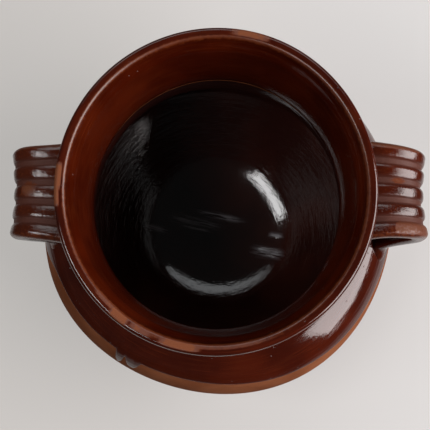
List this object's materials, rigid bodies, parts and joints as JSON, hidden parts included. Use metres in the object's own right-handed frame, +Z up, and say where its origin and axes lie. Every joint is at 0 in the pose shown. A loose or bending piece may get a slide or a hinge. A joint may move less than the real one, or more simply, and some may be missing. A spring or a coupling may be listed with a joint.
{
  "type": "two-handled bean pot",
  "caption": "Wide-mouthed glazed clay bean pot with a round belly, a flared collar, a beaded rim and two ribbed strap handles, open at the top.",
  "frame": {"origin": "centre of the foot, on the surface that the pot stands on", "axes": "+Z up along the pot's axis, +X from the left handle to the right handle, -Y towards the person who looks at it"},
  "size_m": [0.2366, 0.217, 0.1646],
  "materials": {
    "bare_clay": "matt fired red-brown clay with throwing rings, bare below the dipped glaze line",
    "brown_glaze": "glossy red-brown glaze, thin and orange-brown along the lip and the edges of the ribs",
    "dark_glaze": "thick glossy black-brown glaze inside the belly"
  },
  "bodies": {
    "root": {"pot_body": "bare_clay", "left_handle": "brown_glaze", "right_handle": "brown_glaze", "outer_glaze": "brown_glaze", "inner_glaze": "dark_glaze"}
  },
  "joints": []
}
